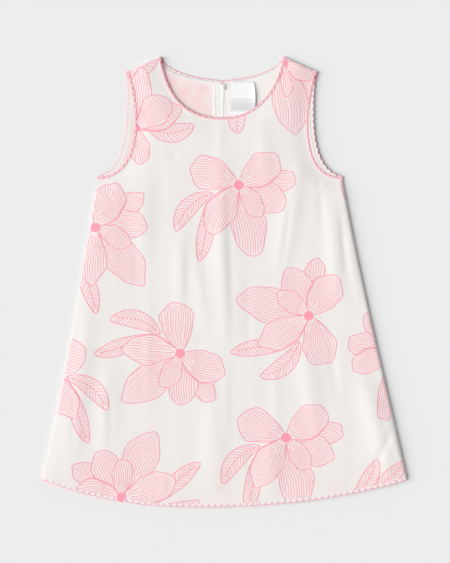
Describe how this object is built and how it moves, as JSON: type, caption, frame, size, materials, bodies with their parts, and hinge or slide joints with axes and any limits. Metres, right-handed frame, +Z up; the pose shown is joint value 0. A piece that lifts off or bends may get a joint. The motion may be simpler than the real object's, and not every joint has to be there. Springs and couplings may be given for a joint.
{
  "type": "shift dress",
  "caption": "Small child's sleeveless A-line shift dress in flower-print cotton, laid flat, with a scalloped thread edging, a lined back, a neck label and a concealed zip at centre back.",
  "frame": {"origin": "centre of the dress's box at the surface that it lies on", "axes": "+X across the dress, to the viewer's right in the picture; +Y from hem to shoulders; +Z up from the surface, out of the front"},
  "size_m": [0.4376, 0.5392, 0.0068],
  "materials": {
    "cloth": "fine plain-woven cotton with a pink line print of large flowers",
    "lining": "thin white cotton voile",
    "edging": "pink thread, worked in small scallops",
    "zip_tape": "white woven tape",
    "zip_nylon": "white nylon",
    "label": "white satin ribbon with a plain grey band"
  },
  "bodies": {
    "root": {"front_panel": "cloth", "back_panel_left": "cloth", "back_panel_right": "cloth", "back_lining_left": "lining", "back_lining_right": "lining", "neck_edging": "edging", "armhole_edging_left": "edging", "armhole_edging_right": "edging", "hem_edging": "edging", "zip_tape_left": "zip_tape", "zip_tape_right": "zip_tape", "zip_coil": "zip_nylon", "zip_slider": "zip_nylon", "neck_label": "label"}
  },
  "joints": []
}
